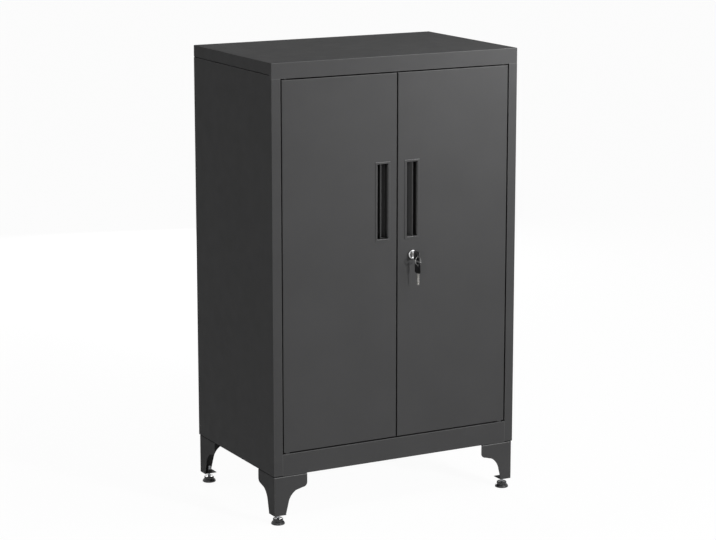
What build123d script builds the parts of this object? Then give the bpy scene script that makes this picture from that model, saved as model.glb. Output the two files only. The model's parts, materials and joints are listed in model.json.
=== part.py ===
from build123d import *
from math import cos, radians, sin
import os

# Two-door steel tool cabinet on four pressed legs, in millimetres.
# +X is to the right, +Y to the back and +Z up.  The origin is on the floor,
# under the middle of the cabinet with its key in the lock.

# ---- Body ----
body_width = 600.0          # over the side panels
body_depth = 386.0          # face of the stiles to the back
body_height = 890.0         # underside of the body to the top
sheet = 0.8                 # steel sheet of body, doors and shelves
bend = 1.2                  # middle radius of a fold
paint_gap = 0.2             # gap left for the powder coat where sheets meet
header_height = 34.0        # front flange of the top cap
cap_side_drop = 25.0        # side and back flanges of the top cap
cap_seam = 2.0              # shadow groove under those flanges
cap_seam_depth = 4.0
cap_seam_start = 10.0       # face of the cabinet to the front end of the groove
stile_width = 21.0
stile_return = 22.0         # depth of the fold behind the stile
back_return = 20.0          # flange of a side panel at the back
sill_height = 48.0
base_return = 34.0          # flanges folded in under the body
floor_side_flange = 20.0
rail_depth = 42.0           # header rail, front to back
rail_lip = 12.0

# ---- Doors ----
door_depth = 20.0
door_gap = 3.0              # around and between the doors
door_lip = 14.0             # flange folded in along the back of a door
stiffener_width = 60.0
stiffener_flange = 14.0
stiffener_end_gap = 60.0    # from a stiffener's end to the door's edge

# ---- Hinges ----
pin_diameter = 5.0
pin_inset = 10.0            # pin to the side edge of the door
pin_setback = 6.0           # pin to the face of the door
pin_engagement = 6.0        # how far the pin stands in its bush
pin_head_diameter = 9.0
pin_head_height = 2.0
bush_wall = 1.5
bush_flange_diameter = 12.0
bush_flange_height = 1.0
running_gap = 0.05          # radial clearance of a pin or shaft in its hole
clear_gap = 0.3             # least gap between pieces that move apart

# ---- Recessed handles ----
handle_offset = 36.0        # middle of the cabinet to the middle of a handle
handle_centre_height = 577.0    # above the underside of the body
handle_opening_width = 27.0
handle_opening_height = 164.0
handle_bezel = 4.5
handle_proud = 1.2
handle_wall = 1.2
handle_undercut = 2.0       # cup wider than its opening, on each long side
handle_depth = 17.0
handle_slot_width = 9.5     # hinge side of the opening to the ridge
handle_ridge_depth = 3.2    # crest of the ridge, below the face of the door
handle_ridge_width = 1.2
handle_ridge_foot = 7.0     # width of the ridge on the floor of the cup

# ---- Lock ----
lock_offset = 37.0          # middle of the cabinet to the lock
lock_drop = 39.5            # below the lower end of a handle's opening
lock_face_diameter = 20.5
lock_proud = 4.5
lock_body_diameter = 16.0
lock_body_flats = 14.0
lock_nut_flats = 20.0
lock_nut_height = 4.0
plug_diameter = 11.0
plug_recess = 0.3
plug_tail = 6.0             # square tail that turns the cam
cam_thickness = 2.0
cam_width = 14.0
cam_length = 49.0           # lock axis to the tip of the cam
cam_screw_diameter = 4.0
cam_screw_length = 5.0
cam_screw_head_diameter = 9.0
cam_screw_head_height = 2.6

# ---- Keys ----
key_stand_off = 4.5         # lock face to the key's head
key_head_length = 24.0
key_head_width = 20.0
key_head_thickness = 2.8
key_head_corner = 5.0
key_hole_diameter = 5.5
key_hole_inset = 6.5        # hole to the end of the head
key_blade_width = 6.2
key_blade_thickness = 1.8
key_blade_length = 26.0     # beyond the head
key_blade_root = 10.0       # inside the head
ring_radius = 8.6           # middle of the wire
ring_wire_diameter = 1.6
ring_turn = 19.0            # degrees that the ring is turned about the vertical
ring_slack = 0.45           # between the wire and the edge of a key's hole
spare_turn = 9.0            # degrees that the spare key is turned

# ---- Shelves ----
shelf_thickness = 25.0
shelf_lip = 12.0
shelf_setback = 36.0        # face of the cabinet to the front of a shelf
shelf_back_gap = 10.0
shelf_side_gap = 2.0
shelf_slots = (5, 10)       # slot, counted from the lowest, that holds each shelf
upright_width = 20.0
upright_depth = 10.0
upright_front = 62.0        # face of the cabinet to the middle of a front upright
upright_back = 50.0         # back of the cabinet to the middle of a back upright
upright_end_gap = 14.0      # above the floor and below the top
slot_pitch = 50.0
slot_width = 5.0
slot_height = 12.0
clip_width = 14.0
clip_height = 18.0
clip_seat = 11.0
clip_thickness = 1.2

# ---- Magnetic catches ----
catch_offset = 46.0         # middle of the cabinet to the middle of a catch
catch_width = 40.0
catch_depth = 15.0
catch_height = 13.0
catch_screw_spacing = 30.0
catch_screw_diameter = 3.0
strike_width = 30.0
strike_height = 11.0
strike_thickness = 1.0

# ---- Legs and levelling feet ----
leg_height = 88.0
leg_sheet = 1.5
leg_fold = 3.5              # outer radius where its plates meet
leg_inset = 1.0             # leg face behind the body's face
leg_flange = 79.0
leg_tab = 21.0              # straight edge at the top of a flange
leg_corner = 10.0
leg_shoulder = 52.0         # width where the underside turns down
leg_shoulder_drop = 35.5
leg_waist = 33.5            # width at the end of the curve
leg_waist_drop = 62.0
leg_bulge = 39.5            # width halfway round the curve
leg_bulge_drop = 47.0
leg_toe = 27.0
leg_top_plate_edge = 34.0   # side edge of the top plate, short of the cut-off corner
leg_foot_plate = 28.0
leg_bolt_diameter = 6.0
leg_bolt_near = 18.0        # bolt to one outer face of the body
leg_bolt_far = 62.0         # and to the other
leg_bolt_length = 14.0
bolt_head_height = 4.0
bolt_flats = 10.0
nut_height = 5.0
foot_inset = 16.5           # foot to each outer face of the body
foot_gap = 22.0             # floor to the foot plate
foot_pad_diameter = 30.0
foot_pad_height = 7.0
foot_collar_diameter = 22.0
foot_collar_height = 6.0
foot_socket_depth = 9.0
stud_diameter = 6.0
stud_above_plate = 13.0
foot_nut_diameter = 10.0
foot_nut_height = 4.5

# ---- Back panel rivets ----
rivet_diameter = 4.0
rivet_head_diameter = 8.0
rivet_head_height = 1.2
rivets_per_side = 5
rivet_end_gap = 60.0

# ---- Places worked out from the sizes above ----
key_reach = lock_proud + key_stand_off + key_head_length
spare_half = (key_head_width * cos(radians(spare_turn)) + key_head_thickness * sin(radians(spare_turn))) / 2
spare_reach = key_reach - key_hole_inset + spare_half
front_reach = max(key_reach, spare_reach)
front = front_reach - (front_reach + body_depth + rivet_head_height) / 2
back = front + body_depth
side = body_width / 2
base = foot_gap + leg_height
top = base + body_height
opening_top = top - header_height
opening_side = side - stile_width
floor_top = base + sill_height
door_width = opening_side - door_gap * 1.5
door_bottom = floor_top + door_gap
door_top = opening_top - door_gap
door_height = door_top - door_bottom
door_outer = opening_side - door_gap
door_inner = door_gap / 2
door_back = front + door_depth
pin_x = door_outer - pin_inset
pin_y = front + pin_setback
handle_z = base + handle_centre_height
lock_z = handle_z - handle_opening_height / 2 - lock_drop
cam_front = door_back + clear_gap + paint_gap


def span(x, y, z):
    """A block between the given (low, high) pairs."""
    size = [high - low for low, high in (x, y, z)]
    middle = [(high + low) / 2 for low, high in (x, y, z)]
    return Pos(*middle) * Box(*size)


def rod(x, y, z_low, z_high, diameter):
    """An upright cylinder."""
    middle = (z_low + z_high) / 2
    return Pos(x, y, middle) * Cylinder(diameter / 2, z_high - z_low)


def rod_back(x, z, y_low, y_high, diameter):
    """A cylinder that runs from front to back."""
    middle = (y_low + y_high) / 2
    return Pos(x, middle, z) * Rot(90, 0, 0) * Cylinder(diameter / 2, y_high - y_low)


def hexagon(x, y, z_low, z_high, flats):
    """An upright hexagonal block, by its width across flats."""
    outline = RegularPolygon(flats / 2, 6, major_radius=False)
    return Pos(x, y, z_low) * extrude(outline, z_high - z_low)


def mirrored(shape):
    """The same piece on the other side of the cabinet."""
    return mirror(shape, Plane.YZ)


def group(pieces):
    """Identical loose pieces kept together."""
    return Compound(children=list(pieces))


def folded(points, x_low, x_high):
    """Sheet folded along (y, z) points of its middle and run from x_low to x_high."""
    profile = trace(FilletPolyline(*points, radius=bend), line_width=sheet)
    return Pos(x_low, 0, 0) * (Plane.YZ * extrude(profile, x_high - x_low))


# ---- Body ----
def top_cap():
    cap = span((-side, side), (front, back), (opening_top, top))
    round_edges = cap.faces().sort_by(Axis.Z)[-1].edges() + cap.edges().filter_by(Axis.Z)
    cap = fillet(round_edges, bend + sheet / 2)
    hollow = span(
        (-side + sheet, side - sheet),
        (front + sheet, back - sheet),
        (opening_top - 1, top - sheet),
    )
    cap -= fillet(hollow.faces().sort_by(Axis.Z)[-1].edges(), bend - sheet / 2)
    below_flange = (opening_top - 1, top - cap_side_drop)
    return cap - span((-side - 1, side + 1), (front + sheet + bend, back + 1), below_flange)


def header_rail():
    web = front + 1.5 * sheet
    tail = front + rail_depth
    floor = opening_top + sheet / 2
    points = [(web, top - 2 * sheet), (web, floor), (tail, floor), (tail, floor + rail_lip)]
    reach = opening_side - paint_gap
    rail = folded(points, -reach, reach)
    for x in (-pin_x, pin_x):
        hole = pin_diameter + 2 * (running_gap + bush_wall)
        rail -= rod(x, pin_y, opening_top - 1, opening_top + bend + sheet, hole)
    for x, y in catch_screw_places():
        rail -= rod(x, y, opening_top - 1, opening_top + 2 * sheet, catch_screw_diameter)
    return rail


def side_panel():
    """The left side panel, folded round the stile in front and in at the back and base."""
    seam = top - cap_side_drop
    groove = seam - cap_seam
    web = span((-side, -side + sheet), (front, back), (base, groove))
    behind_cap = front + sheet + bend
    web += span((-side, -side + sheet), (behind_cap, front + cap_seam_start), (groove, seam))
    inside = (-side + cap_seam_depth, -side + cap_seam_depth + sheet)
    inner_depth = (behind_cap, back - 2 * sheet - paint_gap)
    web += span((-side, inside[1]), inner_depth, (groove - sheet, groove))
    web += span(inside, inner_depth, (groove, top - sheet))
    stile = span((-side, -opening_side), (front, front + sheet), (base, opening_top))
    stile_fold = (-opening_side - sheet, -opening_side)
    fold = span(stile_fold, (front + sheet, front + stile_return), (base, top - sheet - bend))
    rear = span((-side, -side + back_return), (back - sheet, back), (base, groove))
    under_depth = (front + sheet + paint_gap, back - 2 * sheet - paint_gap)
    under = span((-side, -side + base_return), under_depth, (base, base + sheet))
    panel = web + stile + fold + rear + under
    panel -= span((-side - 1, -opening_side + 1), (front - 1, front + sheet), (opening_top, top))
    panel -= span((-side - 1, -side + sheet), (front - 1, behind_cap), (opening_top, top))
    corners = [(front, -side), (back, -side)]
    for y, x in corners:
        edge = panel.edges().filter_by(Axis.Z).sort_by_distance((x, y, base + body_height / 2))[0]
        panel = fillet(edge, bend)
    for x, y in leg_bolt_places():
        if x < -side + base_return:
            panel -= rod(x, y, base - 1, base + 2 * sheet, leg_bolt_diameter + 2 * paint_gap)
    for z in rivet_heights():
        panel -= rod_back(rivet_x(), z, back - 2 * sheet, back + 1, rivet_diameter)
    return panel


def back_panel():
    high = top - sheet - bend
    reach = side - sheet - paint_gap
    face = back - sheet
    panel = span((-reach, reach), (face - sheet, face), (base, high))
    inner = side - base_return - paint_gap
    panel += span((-inner, inner), (face - base_return, face), (base, base + sheet))
    for x, y in leg_bolt_places():
        panel -= rod(x, y, base - 1, base + 2 * sheet, leg_bolt_diameter + 2 * paint_gap)
    for z in rivet_heights():
        for x in (rivet_x(), -rivet_x()):
            panel -= rod_back(x, z, face - 2 * sheet, face + 1, rivet_diameter)
    return panel


def floor_panel():
    """The floor of the cabinet, folded down in front as the sill."""
    mid_front = front + sheet / 2
    mid_top = floor_top - sheet / 2
    tail = back - 2 * sheet - paint_gap
    inner = side - base_return - paint_gap
    web = [(tail, mid_top), (mid_front, mid_top), (mid_front, base)]
    panel = folded(web, -opening_side, opening_side)
    panel += span((-inner, inner), (front, front + base_return), (base, base + sheet))
    wide = side - sheet - paint_gap
    wide_front = front + stile_return + paint_gap
    panel += span((-wide, wide), (wide_front, tail), (floor_top - sheet, floor_top))
    for x in (-wide, wide - sheet):
        lows = (floor_top - floor_side_flange, floor_top)
        panel += span((x, x + sheet), (wide_front, tail), lows)
    for x in (-pin_x, pin_x):
        hole = pin_diameter + 2 * (running_gap + bush_wall)
        panel -= rod(x, pin_y, floor_top - 2 * sheet, floor_top + 1, hole)
    for x, y in catch_screw_places():
        panel -= rod(x, y, floor_top - 2 * sheet, floor_top + 1, catch_screw_diameter)
    for x, y in leg_bolt_places():
        panel -= rod(x, y, base - 1, base + 2 * sheet, leg_bolt_diameter + 2 * paint_gap)
    return panel


def rivet_x():
    return -side + back_return / 2


def rivet_heights():
    step = (body_height - 2 * rivet_end_gap) / (rivets_per_side - 1)
    return [base + rivet_end_gap + step * row for row in range(rivets_per_side)]


def back_rivets():
    rivets = []
    for x in (rivet_x(), -rivet_x()):
        for z in rivet_heights():
            shank = rod_back(x, z, back - 2 * sheet, back, rivet_diameter)
            head = rod_back(x, z, back, back + rivet_head_height, rivet_head_diameter)
            rounded = head.faces().sort_by(Axis.Y)[-1].edges()
            rivets.append(shank + fillet(rounded, rivet_head_height * 0.7))
    return group(rivets)


# ---- Hinges ----
def hinge_bushes(upper):
    """Nylon bushes that the hinge pins turn in."""
    bore = pin_diameter + 2 * running_gap
    tube = bore + 2 * bush_wall
    bushes = []
    for x in (-pin_x, pin_x):
        if upper:
            low, high = opening_top, opening_top + pin_engagement
            flange = (opening_top + sheet, opening_top + sheet + bush_flange_height)
        else:
            low, high = floor_top - pin_engagement, door_bottom - clear_gap
            flange = (floor_top, high)
        bush = rod(x, pin_y, low, high, tube)
        across = bush_flange_diameter / 2
        collar = rod(x, pin_y, *flange, bush_flange_diameter)
        ahead = (front + 2 * sheet + bend, pin_y + across)
        collar &= span((x - across, x + across), ahead, flange)
        bush += collar
        bushes.append(bush - rod(x, pin_y, low - 1, high + 1, bore))
    return group(bushes)


def hinge_pins():
    """The left door's two pins, headed inside the door."""
    upper = rod(-pin_x, pin_y, door_top - sheet, opening_top + pin_engagement, pin_diameter)
    head = (door_top - sheet - pin_head_height, door_top - sheet)
    upper += rod(-pin_x, pin_y, *head, pin_head_diameter)
    lower = rod(-pin_x, pin_y, floor_top - pin_engagement, door_bottom + sheet, pin_diameter)
    head = (door_bottom + sheet, door_bottom + sheet + pin_head_height)
    lower += rod(-pin_x, pin_y, *head, pin_head_diameter)
    return group([upper, lower])


# ---- Doors ----
def door_panel():
    """The left door: a folded pan with lips, a handle cut-out and holes for its pins."""
    outer = span((-door_outer, -door_inner), (front, door_back), (door_bottom, door_top))
    outer = fillet(outer.faces().sort_by(Axis.Y)[0].edges(), bend + sheet / 2)
    hollow = span(
        (-door_outer + sheet, -door_inner - sheet),
        (front + sheet, door_back - sheet),
        (door_bottom + sheet, door_top - sheet),
    )
    hollow = fillet(hollow.faces().sort_by(Axis.Y)[0].edges(), bend - sheet / 2)
    window = span(
        (-door_outer + door_lip, -door_inner - door_lip),
        (door_back - 2 * sheet, door_back + 1),
        (door_bottom + door_lip, door_top - door_lip),
    )
    pan = outer - hollow - window
    hole = pin_diameter + 2 * running_gap
    pan -= rod(-pin_x, pin_y, door_top - 2 * sheet, door_top + 1, hole)
    pan -= rod(-pin_x, pin_y, door_bottom - 1, door_bottom + 2 * sheet, hole)
    cut_wide = handle_opening_width / 2 + handle_wall + paint_gap
    cut_high = handle_opening_height / 2 + handle_wall + paint_gap
    return pan - span(
        (-handle_offset - cut_wide, -handle_offset + cut_wide),
        (front - 1, front + 2 * sheet),
        (handle_z - cut_high, handle_z + cut_high),
    )


def door_stiffener():
    """Hat-shaped channel welded up the inside of the left door."""
    middle = -(door_outer + door_inner) / 2
    half = stiffener_width / 2
    skin = front + sheet
    crown = door_back - 2 * sheet
    heights = (door_bottom + stiffener_end_gap, door_top - stiffener_end_gap)
    hat = span((middle - half, middle + half), (skin, crown), heights)
    hat -= span((middle - half + sheet, middle + half - sheet), (skin - 1, crown - sheet), heights)
    for edge in (middle - half, middle + half):
        if edge < middle:
            flange = (edge - stiffener_flange, edge + sheet)
        else:
            flange = (edge - sheet, edge + stiffener_flange)
        hat += span(flange, (skin, skin + sheet), heights)
    return hat


def handle():
    """The left door's recessed handle: a bezel round a deep cup with a ridge along it."""
    high = handle_opening_height / 2
    left = -handle_offset - handle_opening_width / 2
    right = left + handle_opening_width
    floor = front + handle_depth

    def box(x_grow, z_grow, y):
        z = (handle_z - high - z_grow, handle_z + high + z_grow)
        return span((left - x_grow, right + x_grow), y, z)

    bezel = box(handle_bezel, handle_bezel, (front - handle_proud, front))
    bezel = fillet(bezel.faces().sort_by(Axis.Y)[0].edges(), handle_proud * 0.6)
    skin = front + sheet
    outer = handle_undercut + handle_wall
    cup = bezel + box(handle_wall, handle_wall, (front, skin))
    cup += box(outer, handle_wall, (skin, floor + handle_wall))
    cup -= box(0, 0, (front - handle_proud - 1, skin + handle_wall))
    cup -= box(handle_undercut, 0, (skin + handle_wall, floor))
    crest = left + handle_slot_width
    tip = front + handle_ridge_depth
    outline = Polyline(
        (crest, floor),
        (crest, tip),
        (crest + handle_ridge_width, tip),
        (crest + handle_ridge_foot, floor),
        close=True,
    )
    ridge = extrude(make_face(outline), 2 * high)
    return cup + Pos(0, 0, handle_z - high) * ridge


# ---- Lock ----
def double_d(diameter, flats, y_low, y_high, x, z):
    """A round bar with two flats, as a cam lock's body has."""
    bar = rod_back(x, z, y_low, y_high, diameter)
    reach = diameter / 2
    return bar & span((x - flats / 2, x + flats / 2), (y_low, y_high), (z - reach, z + reach))


def right_door_panel():
    pan = mirrored(door_panel())
    grow = 2 * running_gap
    hole = (lock_body_diameter + grow, lock_body_flats + grow)
    return pan - double_d(*hole, front - 1, front + 2 * sheet, lock_offset, lock_z)


def lock_housing():
    rear = door_back + paint_gap
    face = rod_back(lock_offset, lock_z, front - lock_proud, front, lock_face_diameter)
    face = fillet(face.faces().sort_by(Axis.Y)[0].edges(), lock_proud * 0.4)
    barrel = (lock_body_diameter, lock_body_flats, front, rear, lock_offset, lock_z)
    bore = plug_diameter + 2 * running_gap
    housing = face + double_d(*barrel)
    return housing - rod_back(lock_offset, lock_z, front - lock_proud - 1, rear + 1, bore)


def lock_nut():
    skin = front + sheet
    blank = extrude(RegularPolygon(lock_nut_flats / 2, 6, major_radius=False), lock_nut_height)
    nut = Pos(lock_offset, skin + lock_nut_height, lock_z) * Rot(90, 0, 0) * blank
    bore = lock_body_diameter + 2 * running_gap
    return nut - rod_back(lock_offset, lock_z, skin - 1, skin + lock_nut_height + 1, bore)


def lock_plug():
    nose = front - lock_proud + plug_recess
    shoulder = cam_front
    tail_end = cam_front + cam_thickness
    half = plug_tail / 2
    plug = rod_back(lock_offset, lock_z, nose, shoulder, plug_diameter)
    plug += span(
        (lock_offset - half, lock_offset + half), (shoulder, tail_end), (lock_z - half, lock_z + half)
    )
    plug -= key_blade_block(running_gap, nose - 1)
    return plug - rod_back(
        lock_offset, lock_z, tail_end - cam_screw_length, tail_end + 1, cam_screw_diameter
    )


def key_blade_block(grow, y_low):
    """The flat of the key's blade, from y_low to its tip, grown by a clearance."""
    tip = front - lock_proud - key_stand_off + key_blade_length
    thick = key_blade_thickness / 2 + grow
    wide = key_blade_width / 2 + grow
    return span(
        (lock_offset - thick, lock_offset + thick), (y_low, tip + grow), (lock_z - wide, lock_z + wide)
    )


def lock_cam():
    """The cam at rest hangs down, unlocked; a quarter turn takes it behind the left door."""
    half = cam_width / 2
    depth = (cam_front, cam_front + cam_thickness)
    arm = span((lock_offset - half, lock_offset + half), depth, (lock_z - cam_length, lock_z))
    arm += rod_back(lock_offset, lock_z, *depth, cam_width)
    tip_edges = arm.edges().filter_by(Axis.Y).group_by(Axis.Z)[0]
    arm = fillet(tip_edges, cam_width * 0.3)
    square = plug_tail / 2 + running_gap
    return arm - span(
        (lock_offset - square, lock_offset + square), (depth[0] - 1, depth[1] + 1),
        (lock_z - square, lock_z + square),
    )


def cam_screw():
    seat = cam_front + cam_thickness
    shank = rod_back(lock_offset, lock_z, seat - cam_screw_length, seat, cam_screw_diameter)
    head_end = seat + cam_screw_head_height
    head = rod_back(lock_offset, lock_z, seat, head_end, cam_screw_head_diameter)
    head = fillet(head.faces().sort_by(Axis.Y)[-1].edges(), cam_screw_head_height * 0.4)
    return shank + head


# ---- Keys: made lying along +Y from the end of the head, then placed ----
def key_parts():
    """A key's head and blade, flat in the YZ plane, with the hole's centre at the origin."""
    end = -key_hole_inset
    outline = Rectangle(key_head_length, key_head_width)
    outline = fillet(outline.vertices(), key_head_corner)
    head = Pos(-key_head_thickness / 2, end + key_head_length / 2, 0) * (
        Plane.YZ * extrude(outline, key_head_thickness)
    )
    head -= Rot(0, 90, 0) * Cylinder(key_hole_diameter / 2, 2 * key_head_thickness)
    shoulder = end + key_head_length
    thick = key_blade_thickness / 2
    wide = key_blade_width / 2
    blade = span(
        (-thick, thick),
        (shoulder - key_blade_root, shoulder + key_blade_length),
        (-wide, wide),
    )
    tip_edges = blade.edges().filter_by(Axis.X).group_by(Axis.Y)[-1]
    blade = chamfer(tip_edges, key_blade_width * 0.25)
    head -= span(
        (-thick, thick), (shoulder - key_blade_root, shoulder + 1), (-wide, wide)
    )
    return head, blade


def key_hole_y():
    return front - key_reach + key_hole_inset


def ring_top():
    """Height of the wire's middle where the ring hangs in the key's hole."""
    return lock_z - (key_hole_diameter / 2 - ring_wire_diameter / 2 - ring_slack)


def key_in_lock():
    place = Pos(lock_offset, key_hole_y(), lock_z)
    return [place * piece for piece in key_parts()]


def key_ring():
    middle = ring_top() - ring_radius
    ring = Rot(90, 0, 0) * Torus(ring_radius, ring_wire_diameter / 2)
    return Pos(lock_offset, key_hole_y(), middle) * Rot(0, 0, ring_turn) * ring


def spare_hole_z():
    slack = key_hole_diameter / 2 - ring_wire_diameter / 2 - ring_slack
    return ring_top() - 2 * ring_radius - slack


def spare_key():
    place = Pos(lock_offset, key_hole_y(), spare_hole_z()) * Rot(0, 0, spare_turn) * Rot(-90, 0, 0)
    return [place * piece for piece in key_parts()]


# ---- Shelves ----
def upright_places():
    return [front + upright_front, back - upright_back]


def upright_ends():
    return floor_top + upright_end_gap, top - header_height - upright_end_gap


def slot_heights():
    low, high = upright_ends()
    count = int((high - low - slot_pitch) // slot_pitch) + 1
    return [low + slot_pitch * (step + 0.5) for step in range(count)]


def shelf_uprights():
    """Slotted channels welded to the left side panel."""
    low, high = upright_ends()
    wall = -side + sheet
    face = wall + upright_depth
    uprights = []
    for y in upright_places():
        half = upright_width / 2
        channel = span((wall, face), (y - half, y + half), (low, high))
        channel -= span(
            (wall - 1, face - sheet), (y - half + sheet, y + half - sheet), (low - 1, high + 1)
        )
        for z in slot_heights():
            channel -= span(
                (face - 2 * sheet, face + 1),
                (y - slot_width / 2, y + slot_width / 2),
                (z - slot_height / 2, z + slot_height / 2),
            )
        uprights.append(channel)
    return group(uprights)


def shelf_bottom(slot):
    return slot_heights()[slot]


def shelf(slot):
    reach = side - sheet - upright_depth - shelf_side_gap
    low = shelf_bottom(slot)
    depth = (front + shelf_setback, back - 2 * sheet - shelf_back_gap)
    outer = span((-reach, reach), depth, (low, low + shelf_thickness))
    outer = fillet(outer.faces().sort_by(Axis.Z)[-1].edges(), bend + sheet / 2)
    hollow = span(
        (-reach + sheet, reach - sheet), (depth[0] + sheet, depth[1] - sheet),
        (low + sheet, low + shelf_thickness - sheet),
    )
    window = span(
        (-reach + shelf_lip, reach - shelf_lip), (depth[0] + shelf_lip, depth[1] - shelf_lip),
        (low - 1, low + 2 * sheet),
    )
    return outer - hollow - window


def shelf_clips(slot):
    """Four clips that hook in the uprights' slots and carry a shelf."""
    seat = shelf_bottom(slot)
    face = side - sheet - upright_depth
    clips = []
    for y in upright_places():
        half = clip_width / 2
        plate = span((-face, -face + clip_thickness), (y - half, y + half), (seat - clip_height, seat))
        step = span((-face, -face + clip_seat), (y - half, y + half), (seat - clip_thickness, seat))
        hook_half = slot_width / 2 - paint_gap
        hook_high = seat + slot_height / 2 - paint_gap
        hook = span(
            (-face - 3 * sheet, -face + clip_thickness), (y - hook_half, y + hook_half),
            (seat - slot_height / 2 + paint_gap, hook_high - slot_height / 2),
        )
        clip = plate + step + hook
        clips += [clip, mirrored(clip)]
    return group(clips)


# ---- Magnetic catches ----
def catch_screw_places():
    y = door_back + strike_thickness + clear_gap + catch_depth / 2
    half = catch_screw_spacing / 2
    offsets = (-catch_offset - half, -catch_offset + half, catch_offset - half, catch_offset + half)
    return [(x, y) for x in offsets]


def magnetic_catches(upper):
    near = door_back + strike_thickness + clear_gap
    low = opening_top - catch_height if upper else floor_top
    catches = []
    for middle in (-catch_offset, catch_offset):
        half = catch_width / 2
        catch = span((middle - half, middle + half), (near, near + catch_depth), (low, low + catch_height))
        catch = fillet(catch.edges().filter_by(Axis.Z), 2 * sheet)
        for x, y in catch_screw_places():
            catch -= rod(x, y, low - 1, low + catch_height + 1, catch_screw_diameter)
        catches.append(catch)
    return group(catches)


def catch_screws():
    screws = []
    for x, y in catch_screw_places():
        radius = catch_screw_diameter
        seat = opening_top - catch_height
        upper = rod(x, y, seat, opening_top + 3 * sheet, catch_screw_diameter)
        upper += rod(x, y, seat - sheet, seat, 2 * radius)
        seat = floor_top + catch_height
        lower = rod(x, y, floor_top - 3 * sheet, seat, catch_screw_diameter)
        lower += rod(x, y, seat, seat + sheet, 2 * radius)
        screws += [upper, lower]
    return group(screws)


def strike_plates():
    """Steel plates on the left door's lips that the magnets hold."""
    half = strike_width / 2
    plates = []
    for low in (door_top - strike_height - sheet, door_bottom + sheet):
        plates.append(span(
            (-catch_offset - half, -catch_offset + half),
            (door_back, door_back + strike_thickness),
            (low, low + strike_height),
        ))
    return group(plates)


# ---- Legs and feet: the front left one, turned into the other corners ----
def corner_signs():
    return {"front_left": (-1, -1), "front_right": (1, -1), "back_left": (-1, 1), "back_right": (1, 1)}


def to_corner(shape, signs):
    """Move a piece made for the front left corner to another corner."""
    middle = (front + back) / 2
    if signs[0] > 0:
        shape = mirror(shape, Plane.YZ)
    if signs[1] > 0:
        shape = mirror(shape, Plane.XZ.offset(-middle))
    return shape


def leg_outline():
    """A flange of the leg, its outer corner at the origin, going along +X and down."""
    slope_start = (leg_flange - leg_corner, -leg_tab - leg_corner)
    edge = [
        Line((0, 0), (leg_flange, 0)),
        Line((leg_flange, 0), (leg_flange, -leg_tab)),
        RadiusArc((leg_flange, -leg_tab), slope_start, leg_corner),
        Line(slope_start, (leg_shoulder, -leg_shoulder_drop)),
        ThreePointArc(
            (leg_shoulder, -leg_shoulder_drop),
            (leg_bulge, -leg_bulge_drop),
            (leg_waist, -leg_waist_drop),
        ),
        Line((leg_waist, -leg_waist_drop), (leg_toe, -leg_height)),
        Line((leg_toe, -leg_height), (0, -leg_height)),
        Line((0, -leg_height), (0, 0)),
    ]
    return make_face(edge)


def leg():
    x, y = -side + leg_inset, front + leg_inset
    flat = leg_outline()
    ahead = Pos(x, y + leg_sheet, base) * extrude(Plane.XZ * flat, leg_sheet)
    beside = Pos(x, y, base) * extrude(Plane.YZ * flat, leg_sheet)
    bracket = ahead + beside
    far, near = leg_flange, leg_top_plate_edge
    plate = make_face(Polyline((0, 0), (far, 0), (far, near), (near, far), (0, far), close=True))
    bracket += Pos(x, y, base - leg_sheet) * extrude(plate, leg_sheet)
    foot = leg_foot_plate
    bracket += span((x, x + foot), (y, y + foot), (foot_gap, foot_gap + leg_sheet))
    folds = {Axis.X: (x + far / 2, y, base), Axis.Y: (x, y + far / 2, base), Axis.Z: (x, y, base - far / 2)}
    edges = bracket.edges()
    folds = [edges.filter_by(axis).sort_by_distance(middle)[0] for axis, middle in folds.items()]
    bracket = fillet(folds, leg_fold)
    for bolt_x, bolt_y in leg_bolt_places():
        bracket -= rod(bolt_x, bolt_y, base - 2 * leg_sheet, base + 1, leg_bolt_diameter + paint_gap)
    stud = stud_diameter + 2 * (running_gap + paint_gap)
    return bracket - rod(*foot_place(), foot_gap - 1, foot_gap + 2 * leg_sheet, stud)


def foot_place():
    return -side + foot_inset, front + foot_inset


def leg_bolt_places():
    """Bolts of all four legs."""
    near, far = leg_bolt_near, leg_bolt_far
    places = []
    for x in (-side + near, side - near):
        places += [(x, front + far), (x, back - far)]
    for x in (-side + far, side - far):
        places += [(x, front + near), (x, back - near)]
    return places


def leg_bolts():
    bolts = []
    for x, y in leg_bolt_places():
        seat = base - leg_sheet
        bolt = rod(x, y, seat, seat + leg_bolt_length, leg_bolt_diameter)
        bolts.append(bolt + hexagon(x, y, seat - bolt_head_height, seat, bolt_flats))
    return group(bolts)


def leg_nuts():
    nuts = []
    for x, y in leg_bolt_places():
        low = base + sheet
        nut = hexagon(x, y, low, low + nut_height, bolt_flats)
        nuts.append(nut - rod(x, y, low - 1, low + nut_height + 1, leg_bolt_diameter))
    return group(nuts)


def foot_nuts():
    nuts = []
    x, y = foot_place()
    low = foot_gap + leg_sheet
    nut = rod(x, y, low, low + foot_nut_height, foot_nut_diameter)
    nut -= rod(x, y, low - 1, low + foot_nut_height + 1, stud_diameter + 2 * running_gap)
    for signs in corner_signs().values():
        nuts.append(to_corner(nut, signs))
    return group(nuts)


def foot_pad():
    x, y = foot_place()
    high = foot_pad_height + foot_collar_height
    pad = rod(x, y, 0, foot_pad_height, foot_pad_diameter)
    pad = fillet(pad.faces().sort_by(Axis.Z)[-1].edges(), foot_pad_height * 0.35)
    collar = rod(x, y, foot_pad_height, high, foot_collar_diameter)
    collar = fillet(collar.faces().sort_by(Axis.Z)[-1].edges(), foot_collar_height * 0.35)
    bore = stud_diameter + 2 * running_gap
    return pad + collar - rod(x, y, high - foot_socket_depth, high + 1, bore)


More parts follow.
